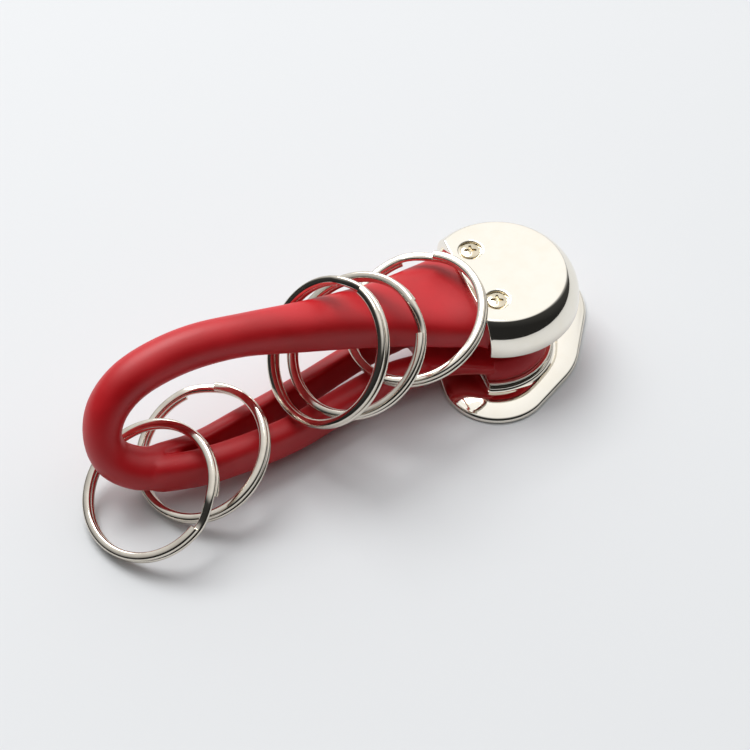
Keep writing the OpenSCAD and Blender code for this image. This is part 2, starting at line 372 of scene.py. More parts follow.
@dataclass
class Surface:
    """Vertices in millimetres and faces, from one or more patches."""

    vertices: np.ndarray = field(default_factory=lambda: np.zeros((0, 3)))
    faces: list[list[int]] = field(default_factory=list)

    def add(self, vertices: np.ndarray, faces: Sequence[Sequence[int]]) -> "Surface":
        """Add a patch of vertices and faces."""
        start = len(self.vertices)
        self.vertices = np.vstack([self.vertices, vertices.reshape(-1, 3)])
        self.faces += (np.asarray(faces) + start).tolist()
        return self

    def join(self, other: "Surface") -> "Surface":
        """Add all the patches of another surface."""
        start = len(self.vertices)
        self.vertices = np.vstack([self.vertices, other.vertices])
        self.faces += [[i + start for i in face] for face in other.faces]
        return self

    def add_grid(self, grid: np.ndarray, wrap: bool = False) -> "Surface":
        """Add a patch from a grid of points.

        Args:
            grid: points as rows x columns x 3.
            wrap: whether the last column joins the first.
        """
        rows, columns = grid.shape[:2]
        index = np.arange(rows * columns).reshape(rows, columns)
        if wrap:
            index = np.hstack([index, index[:, :1]])
        a, b = index[:-1, :-1], index[:-1, 1:]
        c, d = index[1:, 1:], index[1:, :-1]
        return self.add(grid, np.stack([a, b, c, d], -1).reshape(-1, 4))

    def add_cap(self, ring: np.ndarray) -> "Surface":
        """Close a ring of points with a fan about its middle."""
        count = len(ring)
        first = np.arange(count)
        middle = np.full(count, count)
        return self.add(
            np.vstack([ring, ring.mean(0)]), np.stack([first, np.roll(first, -1), middle], -1)
        )

    def add_tube(self, grid: np.ndarray) -> "Surface":
        """Add a tube through a grid of rings, closed at both ends."""
        return self.add_grid(grid, wrap=True).add_cap(grid[0]).add_cap(grid[-1])

    def build(self, name: str, merge_mm: float = 0.0005) -> bpy.types.Object:
        """Make a closed mesh object with its faces outwards.

        Args:
            name: the object's name.
            merge_mm: points nearer than this become one.

        Returns:
            The new object, at the origin.
        """
        mesh = bpy.data.meshes.new(name)
        mesh.from_pydata((self.vertices * MM).tolist(), [], self.faces)
        work = bmesh.new()
        work.from_mesh(mesh)
        bmesh.ops.remove_doubles(work, verts=work.verts, dist=merge_mm * MM)
        bmesh.ops.dissolve_degenerate(work, edges=work.edges, dist=merge_mm * MM / 5)
        bmesh.ops.recalc_face_normals(work, faces=work.faces)
        work.to_mesh(mesh)
        work.free()
        piece = bpy.data.objects.new(name, mesh)
        bpy.context.scene.collection.objects.link(piece)
        return piece


def points_mm(piece: bpy.types.Object) -> np.ndarray:
    """Read a piece's points in millimetres."""
    points = np.zeros(len(piece.data.vertices) * 3, np.float32)
    piece.data.vertices.foreach_get("co", points)
    return points.reshape(-1, 3) / MM


def bake_modifiers(piece: bpy.types.Object) -> None:
    """Replace a piece's mesh by what its modifiers make of it."""
    graph = bpy.context.evaluated_depsgraph_get()
    mesh = bpy.data.meshes.new_from_object(piece.evaluated_get(graph))
    piece.modifiers.clear()
    piece.data = mesh
    mesh.name = piece.name


def cut(piece: bpy.types.Object, cutter: bpy.types.Object) -> None:
    """Cut one closed mesh out of another and remove the cutter."""
    modifier = piece.modifiers.new("cut", "BOOLEAN")
    modifier.operation = "DIFFERENCE"
    modifier.solver = "EXACT"
    modifier.object = cutter
    bpy.context.view_layer.update()
    bake_modifiers(piece)
    bpy.data.objects.remove(cutter)


def shade(piece: bpy.types.Object, crease_deg: float) -> None:
    """Shade a piece smooth, with edges sharper than crease_deg kept crisp."""
    mesh = piece.data
    mesh.polygons.foreach_set("use_smooth", np.ones(len(mesh.polygons), bool))
    mesh.set_sharp_from_angle(angle=math.radians(crease_deg))
    mesh.update()


def dress(
    piece: bpy.types.Object,
    material: bpy.types.Material,
    body: str | None,
    replaced: Sequence[str],
) -> None:
    """Give a piece its finish, its body and the CAD nodes it stands for.

    Args:
        piece: the finished mesh object.
        material: its finish.
        body: the body it rides on, or None for a piece that rides on neither body.
        replaced: names of the CAD nodes it stands for.
    """
    piece.data.materials.clear()
    piece.data.materials.append(material)
    if body:
        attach(piece, body)
    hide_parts(*replaced)
    log.info("%s: %d faces", piece.name, len(piece.data.polygons))


def unit(vectors: np.ndarray) -> np.ndarray:
    """Scale vectors along the last axis to length 1."""
    return vectors / np.linalg.norm(vectors, axis=-1, keepdims=True)


def about_z(degrees: float) -> np.ndarray:
    """Give the matrix of a turn about the Z axis."""
    a = math.radians(degrees)
    return np.array([[math.cos(a), -math.sin(a), 0], [math.sin(a), math.cos(a), 0], [0, 0, 1]])


def lathe(profile: np.ndarray, columns: int) -> np.ndarray:
    """Turn a profile about the Z axis.

    Args:
        profile: points as [radius, height].
        columns: points around the axis.

    Returns:
        A grid, one row for each profile point: (r cos a, r sin a, z).
    """
    angle = np.linspace(0, 2 * np.pi, columns, endpoint=False)
    radius, height = profile[:, :1], profile[:, 1:]
    return np.stack(
        [radius * np.cos(angle), radius * np.sin(angle), height + 0 * angle], -1
    )


def fillet(
    centre: Sequence[float], radius: float, start_deg: float, end_deg: float, steps: int = 5
) -> np.ndarray:
    """Give points on an arc in a profile's plane.

    Args:
        centre: the arc's centre.
        radius: its radius.
        start_deg: angle of its first point.
        end_deg: angle of its last point.
        steps: number of points.

    Returns:
        Points as centre + radius (cos a, sin a).
    """
    angle = np.radians(np.linspace(start_deg, end_deg, steps))
    return np.array(centre) + radius * np.stack([np.cos(angle), np.sin(angle)], -1)


# ---- Strap ----


def smooth_run(stations: Sequence[Sequence[float]], steps: int) -> np.ndarray:
    """Pass a smooth curve through stations, each span a cubic of its four neighbours.

    Args:
        stations: rows of any width.
        steps: points to a span.

    Returns:
        The stations and the points between them, in order.
    """
    s = np.array(stations, float)
    s = np.vstack([s[:1], s, s[-1:]])
    t = np.linspace(0, 1, steps, endpoint=False)[None, :, None]
    a, b, c, d = (s[i : len(s) - 3 + i][:, None, :] for i in range(4))
    run = (
        2 * b
        + (c - a) * t
        + (2 * a - 5 * b + 4 * c - d) * t**2
        + (3 * b - a - 3 * c + d) * t**3
    ) / 2
    return np.vstack([run.reshape(-1, s.shape[1]), s[-1:]])


def strap_section(size: np.ndarray, sides: int) -> tuple[np.ndarray, np.ndarray]:
    """Work out sections from ellipse to D shape.

    The outer and inner halves are powers of cosine and sine, and flatness moves the
    split between them and squares the inner half.

    Args:
        size: rows of width, thickness and flatness.
        sides: points around a section.

    Returns:
        Distances across and outward, as rows x sides.
    """
    width, thick, flat = (size[:, i : i + 1] for i in range(3))
    angle = np.linspace(0, 2 * np.pi, sides, endpoint=False)[None]
    sine, cosine = np.sin(angle), np.cos(angle)
    outer = thick * (0.5 + 0.42 * flat)
    inner = thick - outer
    power = np.where(sine < 0, 2 / (2 + 8 * flat), 2 / (2 + 1.2 * flat))
    across = np.sign(cosine) * np.abs(cosine) ** power * width / 2
    rise = np.sign(sine) * np.abs(sine) ** power
    return across, inner - thick / 2 + rise * np.where(sine < 0, inner, outer)


@dataclass
class Strap:
    """The rubber strap: tongue, arm, bend, lower arm, two strands and lower tongue."""

    cord_d: float = 7.2
    root_x: float = -9.0
    voxel_mm: float = 0.26
    smoothing: int = 10
    span_points: int = 10  # points of a swept run between two stations
    tongue_points: int = 160
    line_points: int = 6  # points of the middle line between two stations
    upper_end: int = 7  # station where the bend meets the upper arm
    lower_end: int = 12  # station where the bend meets the lower arm
    low_side_z: float = 9.2  # points below this and right of low_side_x get a share of 0
    low_side_x: float = -60.0

    def loop_stations(self) -> list[list[float]]:
        """Give the one run from the head round the bend to the lower arm."""
        d = self.cord_d
        return [
            [0, 0, 13.3, 20.4, 5.6, 1],
            [-6, -0.2, 13.9, 17.2, 5.6, 1],
            [-13.5, -0.9, 15.6, 13, 5.8, 0.8],
            [-21.8, -1.8, 17.8, 10, 6.4, 0.5],
            [-30, -2.6, 19.8, 8.2, 6.9, 0.2],
            [-39, -2.9, 21.4, d, d, 0],
            [-47.4, -3.1, 22.2, d, d, 0],
            [-54.4, -3.93, 21.78, d, d, 0],
            [-60, -5.2, 20.3, d, d - 0.2, 0],
            [-63.9, -6.8, 17.2, d, d - 0.6, 0],
            [-65.6, -8.7, 13.2, d, d - 1, 0],
            [-64.8, -10.6, 9.6, d, d - 0.6, 0],
            [-61.5, -12, 7.2, d, d, 0],
            [-57.3, -13, 6.6, d, d, 0],
        ]

    def strand_stations(self) -> dict[int, list[list[float]]]:
        """Give the two strands beside the slot, by the side they are on."""
        back = [
            [-59, -11.6, 6.8, 6.6, 3.4, 0.5],
            [-57.3, -11.1, 6.6, 7, 3.4, 0.6],
            [-50.6, -10.4, 6.1, 7, 3.4, 0.6],
            [-42.7, -7.8, 5.6, 7, 3.4, 0.6],
            [-35.2, -5.2, 5, 7, 3.4, 0.6],
            [-28.5, -2.8, 4.8, 6.8, 3.4, 0.6],
            [-22, -0.5, 4.9, 6.4, 3.4, 0.6],
            [-16, 1, 5.3, 6, 3.4, 0.6],
            [-9, 1.9, 5.6, 5, 3.4, 0.6],
            [-7.5, 1.9, 5.6, 5, 3.4, 0.6],
        ]
        front = [
            [-59, -14.4, 6.8, 6.6, 3.6, 0.5],
            [-57.3, -14.8, 6.6, 7, 3.6, 0.6],
            [-51.6, -15.1, 6.1, 7, 4, 0.6],
            [-46.5, -14.8, 5.8, 7, 4, 0.6],
            [-39.8, -13.8, 5.3, 7, 4, 0.6],
            [-33.8, -12.4, 4.9, 6.9, 4, 0.6],
            [-28, -10.5, 4.8, 6.8, 4, 0.6],
            [-20, -8.1, 5, 6.4, 4, 0.6],
            [-15, -7.4, 5.3, 6, 4, 0.6],
            [-9, -7.4, 5.6, 5, 4, 0.6],
            [-7.5, -7.4, 5.6, 5, 4, 0.6],
        ]
        return {1: back, -1: front}

    def root_stations(self) -> list[list[float]]:
        """Give the root that joins the two strands to the lower tongue."""
        return [
            [self.root_x - 0.6, -2.8, 5.6, 12.8, 5.2, 0.8],
            [self.root_x, -2.8, 5.6, 13.2, 5.2, 0.8],
            [-4, -2.9, 5.6, 15.4, 4.4, 1],
            [0, -3, 5.6, 18.2, 3.6, 1],
            [1, -3, 5.6, 18.3, 3.6, 1],
        ]

    def swept(self, stations: list[list[float]], side: Sequence[float], sides: int = 72) -> Surface:
        """Sweep the strap's section along a run of stations.

        A point is place + across x (forward x outward) + outward x (side x forward).

        Args:
            stations: rows of x, y, z, width, thickness and flatness.
            side: the direction that lies across the sections.
            sides: points around a section.

        Returns:
            A closed surface.
        """
        run = smooth_run(stations, self.span_points)
        place = run[:, :3]
        forward = unit(np.gradient(place, axis=0))
        outward = unit(np.cross(np.array(side, float), forward))
        sideways = np.cross(forward, outward)
        across, rise = strap_section(run[:, 3:6], sides)
        grid = (
            place[:, None]
            + across[..., None] * sideways[:, None]
            + rise[..., None] * outward[:, None]
        )
        return Surface().add_tube(grid)

    def tongue(
        self, centre: Sequence[float], chord_x: float, rows: Sequence[tuple[float, float]]
    ) -> Surface:
        """Stack D-shaped outlines: a circle cut by the line x = chord_x.

        Args:
            centre: x and y of the circle's centre.
            chord_x: x of the straight edge.
            rows: radius and height of each outline.

        Returns:
            A closed surface.
        """
        grids = []
        for radius, height in rows:
            half = math.acos(max(-1.0, (chord_x - centre[0]) / radius))
            angle = np.linspace(-half, half, self.tongue_points)
            grids.append(
                np.stack(
                    [
                        centre[0] + radius * np.cos(angle),
                        centre[1] + radius * np.sin(angle),
                        np.full(self.tongue_points, height),
                    ],
                    -1,
                )
            )
        grid = np.array(grids)
        return Surface().add_tube(grid)

    def bend_share(self, points: np.ndarray) -> np.ndarray:
        """Say how far each point has turned from the lower half to the upper half.

        The nearest place on the loop's middle line gives a length along it, which a
        smooth step turns to a share from the bend's lower end to its upper end.

        Args:
            points: the mesh's points in millimetres.

        Returns:
            0 on the lower half, 1 on the upper half.
        """
        line = smooth_run(self.loop_stations(), self.line_points)[:, :3]
        length = np.concatenate([[0], np.cumsum(np.linalg.norm(np.diff(line, axis=0), axis=1))])
        upper_end = length[self.upper_end * self.line_points]
        lower_end = length[self.lower_end * self.line_points]
        nearest = np.concatenate(
            [
                ((part[:, None] - line[None]) ** 2).sum(-1).argmin(1)
                for part in np.array_split(points, max(1, len(points) // CHUNK))
            ]
        )
        share = np.clip((lower_end - length[nearest]) / (lower_end - upper_end), 0, 1)
        low_side = (points[:, 2] < self.low_side_z) & (points[:, 0] > self.low_side_x)
        share[low_side] = 0.0
        return share * share * (3 - 2 * share)

    def build(self, finish: bpy.types.Material) -> bpy.types.Object:
        """Join the runs and tongues into one moulded skin and dress it.

        The parts are remeshed together on a fine lattice and then smoothed, which
        leaves the soft edges of moulded rubber.

        Args:
            finish: the rubber.

        Returns:
            The strap.
        """
        whole = self.swept(self.loop_stations(), (0, 1, 0))
        strands = self.strand_stations()
        upper_rows = [(12.3, 10.55), (12.3, 11.5), (12.0, 13.0), (11.4, 15.0)]
        lower_rows = [(9.9, 3.82), (9.85, 4.8), (9.4, 5.9), (8.8, 6.9), (8.4, 7.4)]
        parts = (
            self.swept(strands[1], (0, 0, 1)),
            self.swept(strands[-1], (0, 0, -1)),
            self.swept(self.root_stations(), (0, 1, 0)),
            self.tongue((6.2, 0), -0.4, upper_rows),
            self.tongue((4.1, -3), 0, lower_rows),
        )
        for part in parts:
            whole.join(part)
        strap = whole.build("rubber_strap", 0.0001)
        skin = strap.modifiers.new("skin", "REMESH")
        skin.mode = "VOXEL"
        skin.voxel_size = self.voxel_mm * MM
        soft = strap.modifiers.new("soft", "SMOOTH")
        soft.factor = 0.5
        soft.iterations = self.smoothing
        bpy.context.view_layer.update()
        bake_modifiers(strap)
        strap.data.polygons.foreach_set("use_smooth", np.ones(len(strap.data.polygons), bool))
        nodes = (
            "strap_upper_tongue",
            "strap_upper_arm",
            "strap_bend",
            "strap_lower_arm",
            "strap_back_strand",
            "strap_front_strand",
            "strap_lower_tongue",
        )
        dress(strap, finish, None, nodes)
        points = points_mm(strap)
        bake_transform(strap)
        share = self.bend_share(points)
        return strap


# ---- Screws ----


@dataclass
class Screws:
    """Small cross-recess screws with low heads."""

    head_d: float = 3.4
    head_h: float = 0.8
    thread_d: float = 2.0
    cross_w: float = 2.2
    cross_depth: float = 0.6
    cross_arm: float = 0.21  # half the width of an arm
    dome: float = 0.14
    top_soft: float = 0.18
    foot_soft: float = 0.08
    point: float = 0.3

    def one(
        self, name: str, place: Sequence[float], length: float, turn_deg: float, up: int
    ) -> bpy.types.Object:
        """Make one screw.

        Args:
            name: the object's name.
            place: the middle of its head's top.
            length: from the head's top to the thread's end.
            turn_deg: turn of the cross.
            up: 1 when the head faces up, -1 when it faces down.

        Returns:
            The screw, not yet dressed.
        """
        r, h = self.head_d / 2, self.head_h
        t = self.thread_d / 2
        top, foot, point = self.top_soft, self.foot_soft, self.point
        profile = np.vstack(
            [
                [[0, 0], [0.3 * r, -0.1 * self.dome], [0.6 * r, -0.36 * self.dome]],
                fillet((r - top, -self.dome - top), top, 80, 0),
                fillet((r - foot, -h + foot), foot, 0, -90, 4),
                [[t, -h], [t, -length + point], [t - point, -length], [0, -length]],
            ]
        )
        screw = Surface().add_grid(lathe(profile, 64), wrap=True).build(name)
        cut(screw, self.cross())
        turn = about_z(turn_deg)
        if up < 0:
            turn = np.diag([1, -1, -1]) @ turn
        moved = (points_mm(screw) @ turn.T + np.array(place)) * MM
        screw.data.vertices.foreach_set("co", moved.astype(np.float32).ravel())
        screw.data.update()
        return screw

    def cross(self) -> bpy.types.Object:
        """Make the tapered cross that cuts the recess."""
        half, arm = self.cross_w / 2, self.cross_arm
        inner = 1.3 * arm  # the corners between the arms, eased outwards
        corners = []
        for quarter in range(4):
            a = quarter * math.pi / 2
            for x, y in ((half, -arm), (half, arm), (inner, inner)):
                corners.append(
                    [x * math.cos(a) - y * math.sin(a), x * math.sin(a) + y * math.cos(a)]
                )
        outline = np.array(corners)
        rows = [(1.06, 0.3), (1.0, -0.02), (0.72, -self.cross_depth)]  # scale and height
        grid = np.array(
            [np.hstack([outline * f, np.full((len(outline), 1), z)]) for f, z in rows]
        )
        return Surface().add_tube(grid).build("cross_cutter")

    def pair(
        self,
        name: str,
        places: Sequence[Sequence[float]],
        length: float,
        turns: Sequence[float],
        up: int,
    ) -> bpy.types.Object:
        """Make two screws as one object.

        Args:
            name: the object's name.
            places: the middles of the heads' tops.
            length: from a head's top to its thread's end.
            turns: turn of each cross in degrees.
            up: 1 when the heads face up, -1 when they face down.

        Returns:
            The pair.
        """
        both = bmesh.new()
        for place, turn in zip(places, turns):
            screw = self.one("screw", place, length, turn, up)
            both.from_mesh(screw.data)
            bpy.data.objects.remove(screw)
        mesh = bpy.data.meshes.new(name)
        bmesh.ops.recalc_face_normals(both, faces=both.faces)
        both.to_mesh(mesh)
        both.free()
        pair = bpy.data.objects.new(name, mesh)
        bpy.context.scene.collection.objects.link(pair)
        shade(pair, 32)
        return pair


def counterbore(place: Sequence[float], radius: float, depth: float, up: int) -> bpy.types.Object:
    """Make a cutter for a shallow round pocket with a softened rim.

    Args:
        place: the pocket's middle at the face it is cut into.
        radius: the pocket's radius.
        depth: its depth.
        up: 1 for a pocket in a top face, -1 for one in an underside.

    Returns:
        The cutter.
    """
    lip, past = 0.28, 0.5  # the rim's rounding, and how far the cutter stands past the face
    flare = fillet((radius + lip, -lip), lip, 180, 90, 5)
    profile = np.vstack(
        [[[0, -depth], [radius, -depth]], flare, [[radius + lip, past], [0, past]]]
    )
    grid = lathe(profile, 72)
    grid[..., 2] *= up
    return Surface().add_grid(grid + np.array(place), wrap=True).build("pocket_cutter")


# ---- Head ----


@dataclass
class Head:
    """The domed shell over the upper tongue, with its straight edge and two screws."""

    centre_x: float = 6.2
    bottom: float = 10.5
    top: float = 17.0
    face_r: float = 11.4
    wall_r: float = 14.0
    lip_h: float = 1.0
    face_wall: float = 1.8
    side_wall: float = 1.1
    crease: float = 0.22
    edge: float = 0.22
    foot_soft: float = 0.18
    screw_x: float = 3.45
    screw_y: float = 6.05
    screw_length: float = 4.9
    screw_turns: tuple[float, float] = (-21, -17)
    pocket_r: float = 2.05
    pocket_depth: float = 0.86
    flat_points: int = 14
    bevel_points: int = 6

    def arc_radius(self) -> float:
        """Give the radius of the wall's bulge, which meets the face and the lip."""
        bulge, rise = self.wall_r - self.face_r, self.top - self.bottom - self.lip_h
        return (bulge * bulge + rise * rise) / (2 * bulge)

    def half_profile(self, start_r: float, inset: float, top: float) -> np.ndarray:
        """Give a profile from the face's middle out and down to the lower edge.

        The wall is an arc about a centre at the lip's height, moved in by inset.

        Args:
            start_r: radius of the first point of the outer stretch.
            inset: how far the wall lies inside the outer one.
            top: height of the face.

        Returns:
            Points as [radius, height], the same number for every inset.
        """
        radius = self.arc_radius() - inset
        centre = np.array([self.wall_r - self.arc_radius(), self.bottom + self.lip_h])
        high = math.degrees(math.asin((top - centre[1]) / radius))
        corner_r = centre[0] + radius * math.cos(math.radians(high))
        flat = np.linspace(start_r, corner_r - self.crease, self.flat_points)
        turn = np.linspace(0, 1, 6)[1:]
        drop = math.degrees(self.crease / radius)
        to = centre + radius * np.array(
            [math.cos(math.radians(high - drop)), math.sin(math.radians(high - drop))]
        )
        start = np.array([corner_r - self.crease, top])
        corner = np.array([corner_r, top])
        bent = (
            ((1 - turn) ** 2)[:, None] * start
            + (2 * turn * (1 - turn))[:, None] * corner
            + (turn**2)[:, None] * to
        )
        wall = fillet(centre, radius, high - drop, 0, 24)[1:]
        soft = self.foot_soft
        outside = inset == 0
        foot_r = self.wall_r - inset - (soft if outside else -soft)
        first_deg, last_deg = (0, -90) if outside else (180, 270)
        foot = fillet((foot_r, self.bottom + soft), soft, first_deg, last_deg)
        face = np.stack([flat, np.full(self.flat_points, top)], -1)
        return np.vstack([face, bent, wall, foot])

    def turned(self, profile: np.ndarray, edge_x: float, columns: int = 224) -> np.ndarray:
        """Turn a profile about the head's axis, stopping at the plane x = edge_x.

        A row of radius r runs over the angles within acos((edge_x - centre) / r), or
        the whole circle where the plane doesn't reach it.

        Args:
            profile: points as [radius, height].
            edge_x: x of the plane.
            columns: points in a row.

        Returns:
            A grid of points.
        """
        share = np.linspace(-1, 1, columns)[None]
        reach = np.clip((edge_x - self.centre_x) / np.maximum(profile[:, :1], 1e-6), -1, 1)
        angle = np.arccos(reach) * share
        return np.stack(
            [
                self.centre_x + profile[:, :1] * np.cos(angle),
                profile[:, :1] * np.sin(angle),
                profile[:, 1:] + 0 * angle,
            ],
            -1,
        )

    def shell(self) -> bpy.types.Object:
        """Make the shell from its outside, its inside, its cut face and the rounding
        between the outside and the cut face."""
        outer = self.half_profile(self.centre_x - self.edge, 0, self.top)
        inner = self.half_profile(self.centre_x, self.side_wall, self.top - self.face_wall)
        outside = self.turned(outer, self.edge)
        inside = self.turned(inner, 0)
        surface = Surface().add_grid(outside).add_grid(inside)
        for profile, at_x in ((outer, self.edge), (inner, 0)):
            rings = np.stack([np.linspace(0, profile[0, 0], 4), np.full(4, profile[0, 1])], -1)
            surface.add_grid(self.turned(rings, at_x))
        surface.add_grid(np.stack([outside[-1], self.turned(inner, self.edge)[-1]]))
        for column in (0, -1):
            rim = outside[:, column]
            along = np.gradient(rim, axis=0)
            inward = unit(np.stack([0 * along[:, 0], along[:, 2], -along[:, 1]], -1))
            middle = np.array([0, 0, self.bottom - 2]) - rim
            inward *= np.sign((middle * inward).sum(1, keepdims=True))
            inward[0] = (0, 0, -1)
            angle = np.linspace(0, np.pi / 2, self.bevel_points)[:, None, None]
            rounding = (
                rim[None]
                - np.array([self.edge, 0, 0]) * np.sin(angle)
                + inward[None] * self.edge * (1 - np.cos(angle))
            )
            rounding[:, -1, 2] = np.maximum(rounding[:, -1, 2], self.bottom)
            surface.add_grid(rounding)
            surface.add_grid(np.stack([rounding[-1], inside[:, column]]))
            corner = np.repeat(inside[-1:, column], self.bevel_points, 0)
            surface.add_grid(np.stack([rounding[:, -1], corner]))
        shell = surface.build("head_cover")
        for side in (-1, 1):
            place = (self.screw_x, side * self.screw_y, self.top)
            cut(shell, counterbore(place, self.pocket_r, self.pocket_depth, 1))
        shade(shell, 30)
        return shell

    def build(self, plating: bpy.types.Material, steel: bpy.types.Material) -> None:
        """Make the shell and its screws and dress them."""
        dress(self.shell(), plating, Body.UPPER.value, ["head_shell"])
        places = [(self.screw_x, side * self.screw_y, self.top) for side in (-1, 1)]
        pair = Screws().pair("head_screw_pair", places, self.screw_length, self.screw_turns, 1)
        dress(pair, steel, Body.UPPER.value, ["head_screws"])


# ---- Base ----


@dataclass
class Base:
    """The egg-shaped base plate with its D-shaped boss and two screws from below."""

    near: tuple[float, float] = (2.6, -9.6)
    near_r: float = 9.4
    mid_r: float = 13.0
    far_r: float = 12.8
    reach: float = 16.8
    yaw_deg: float = 57.5
    rim: float = 1.2
    deck: float = 2.2
    dome_w: float = 4.5
    boss_centre: tuple[float, float] = (4.1, -3.0)
    boss_r: float = 10.6
    chord: float = 4.1
    boss_top: float = 3.8
    flare: float = 0.6
    foot_soft: float = 0.35
    rim_soft: float = 0.75
    boss_soft: float = 0.2
    corner_sharpness: float = 4.0
    screw_x: float = 3.45
    screw_y: tuple[float, float] = (-9.05, 3.05)
    screw_rise: float = 0.1
    screw_length: float = 6.5
    screw_turns: tuple[float, float] = (5, 40)
    pocket_r: float = 1.95
    pocket_depth: float = 0.95

    def egg(self, inset: float) -> np.ndarray:
        """Give the plate's outline moved in by inset.

        The outline is an egg of three circles joined by tangents. Each point is a
        circle's centre plus its radius along the outline's normal, and along a tangent
        the centre moves from one circle to the next.

        Args:
            inset: distance inside the rim.

        Returns:
            Points as [x, y], in the same order for every inset.
        """
        half = self.reach / 2
        near_tilt = math.acos((self.near_r - self.mid_r) / half)
        far_tilt = math.acos((self.mid_r - self.far_r) / half)
        stretches = [  # first and last direction, first and last circle, points
            (-far_tilt, far_tilt, 2, 2, 100),
            (far_tilt, far_tilt, 2, 1, 8),
            (far_tilt, near_tilt, 1, 1, 24),
            (near_tilt, near_tilt, 1, 0, 8),
            (near_tilt, 2 * np.pi - near_tilt, 0, 0, 80),
            (-near_tilt, -near_tilt, 0, 1, 8),
            (-near_tilt, -far_tilt, 1, 1, 24),
            (-far_tilt, -far_tilt, 1, 2, 8),
        ]
        turn, place = [], []
        for first, last, start, end, count in stretches:
            inner = slice(None) if start == end else slice(1, -1)
            extra = 0 if start == end else 2
            turn.append(np.linspace(first, last, count + extra)[inner])
            place.append(np.linspace(start, end, count + extra)[inner])
        yaw = math.radians(self.yaw_deg)
        direction = yaw + np.concatenate(turn)
        along = np.concatenate(place)
        radius = np.interp(along, [0, 1, 2], [self.near_r, self.mid_r, self.far_r]) - inset
        axis = np.array([math.cos(yaw), math.sin(yaw)])
        centre = np.array(self.near) + half * along[:, None] * axis
        return centre + radius[:, None] * np.stack([np.cos(direction), np.sin(direction)], -1)

    def boss(self, angle: np.ndarray, grown: float) -> np.ndarray:
        """Give the boss's outline: the nearer of a circle and a straight edge.

        The two are joined by a soft minimum, -log(exp(-k a) + exp(-k b)) / k.

        Args:
            angle: direction of each point from the boss's centre.
            grown: distance outside the boss.

        Returns:
            Points as [x, y].
        """
        sharp = self.corner_sharpness
        shallowest, farthest = 0.05, 40  # these keep the straight edge finite
        straight = (self.chord + grown) / np.maximum(-np.cos(angle), shallowest)
        straight = np.minimum(straight, farthest)
        circle = self.boss_r + grown
        radius = -np.log(np.exp(-sharp * straight) + np.exp(-sharp * circle)) / sharp
        direction = np.stack([np.cos(angle), np.sin(angle)], -1)
        return np.array(self.boss_centre) + radius[:, None] * direction

    def plate(self) -> bpy.types.Object:
        """Make the plate from rows that run from the underside's middle round the rim,
        over the slope, up the boss and in to the top's middle."""
        centre = np.array(self.boss_centre)
        outer = self.egg(0)
        angle = np.arctan2(outer[:, 1] - centre[1], outer[:, 0] - centre[0])
        rows: list[np.ndarray] = []

        def row(points: np.ndarray, height: float | np.ndarray) -> None:
            """Keep one row at a height."""
            heights = np.zeros((len(points), 1)) + np.reshape(height, (-1, 1))
            rows.append(np.hstack([points, heights]))

        soft = self.foot_soft
        for share in (0, 0.35, 0.7):
            row(centre + share * (self.egg(soft) - centre), 0)
        for inset, height in fillet((soft, soft), soft, 270, 180, 6):
            row(self.egg(inset), height)
        soft = self.rim_soft
        for inset, height in fillet((soft, self.rim - soft), soft, 180, 105, 7):
            row(self.egg(inset), height)
        start = self.egg(inset)
        start_z = height
        flare = self.flare
        foot = self.boss(angle, flare)
        for share in np.linspace(0, 1, 22)[1:]:
            points = start + share * (foot - start)
            travelled = np.linalg.norm(points - start, axis=1)
            rise = 1 - (1 - np.clip(travelled / self.dome_w, 0, 1)) ** 2
            row(points, start_z + (self.deck - start_z) * rise)
        for grown, height in fillet((flare, self.deck + flare), flare, 270, 180, 7)[1:]:
            row(self.boss(angle, grown), height)
        soft = self.boss_soft
        for grown, height in fillet((-soft, self.boss_top - soft), soft, 0, 90, 5):
            row(self.boss(angle, grown), height)
        for share in (0.8, 0.4, 0):
            row(centre + share * (self.boss(angle, -soft) - centre), self.boss_top)
        plate = Surface().add_grid(np.array(rows), wrap=True).build("base_foot_plate")
        for y in self.screw_y:
            cut(plate, counterbore((self.screw_x, y, 0), self.pocket_r, self.pocket_depth, -1))
        shade(plate, 34)
        return plate

    def build(self, plating: bpy.types.Material, steel: bpy.types.Material) -> None:
        """Make the plate and its screws and dress them."""
        dress(self.plate(), plating, Body.LOWER.value, ["base_plate"])
        places = [(self.screw_x, y, self.screw_rise) for y in self.screw_y]
        pair = Screws().pair("base_screw_pair", places, self.screw_length, self.screw_turns, -1)
        dress(pair, steel, Body.LOWER.value, ["base_screws"])


# ---- Rings ----


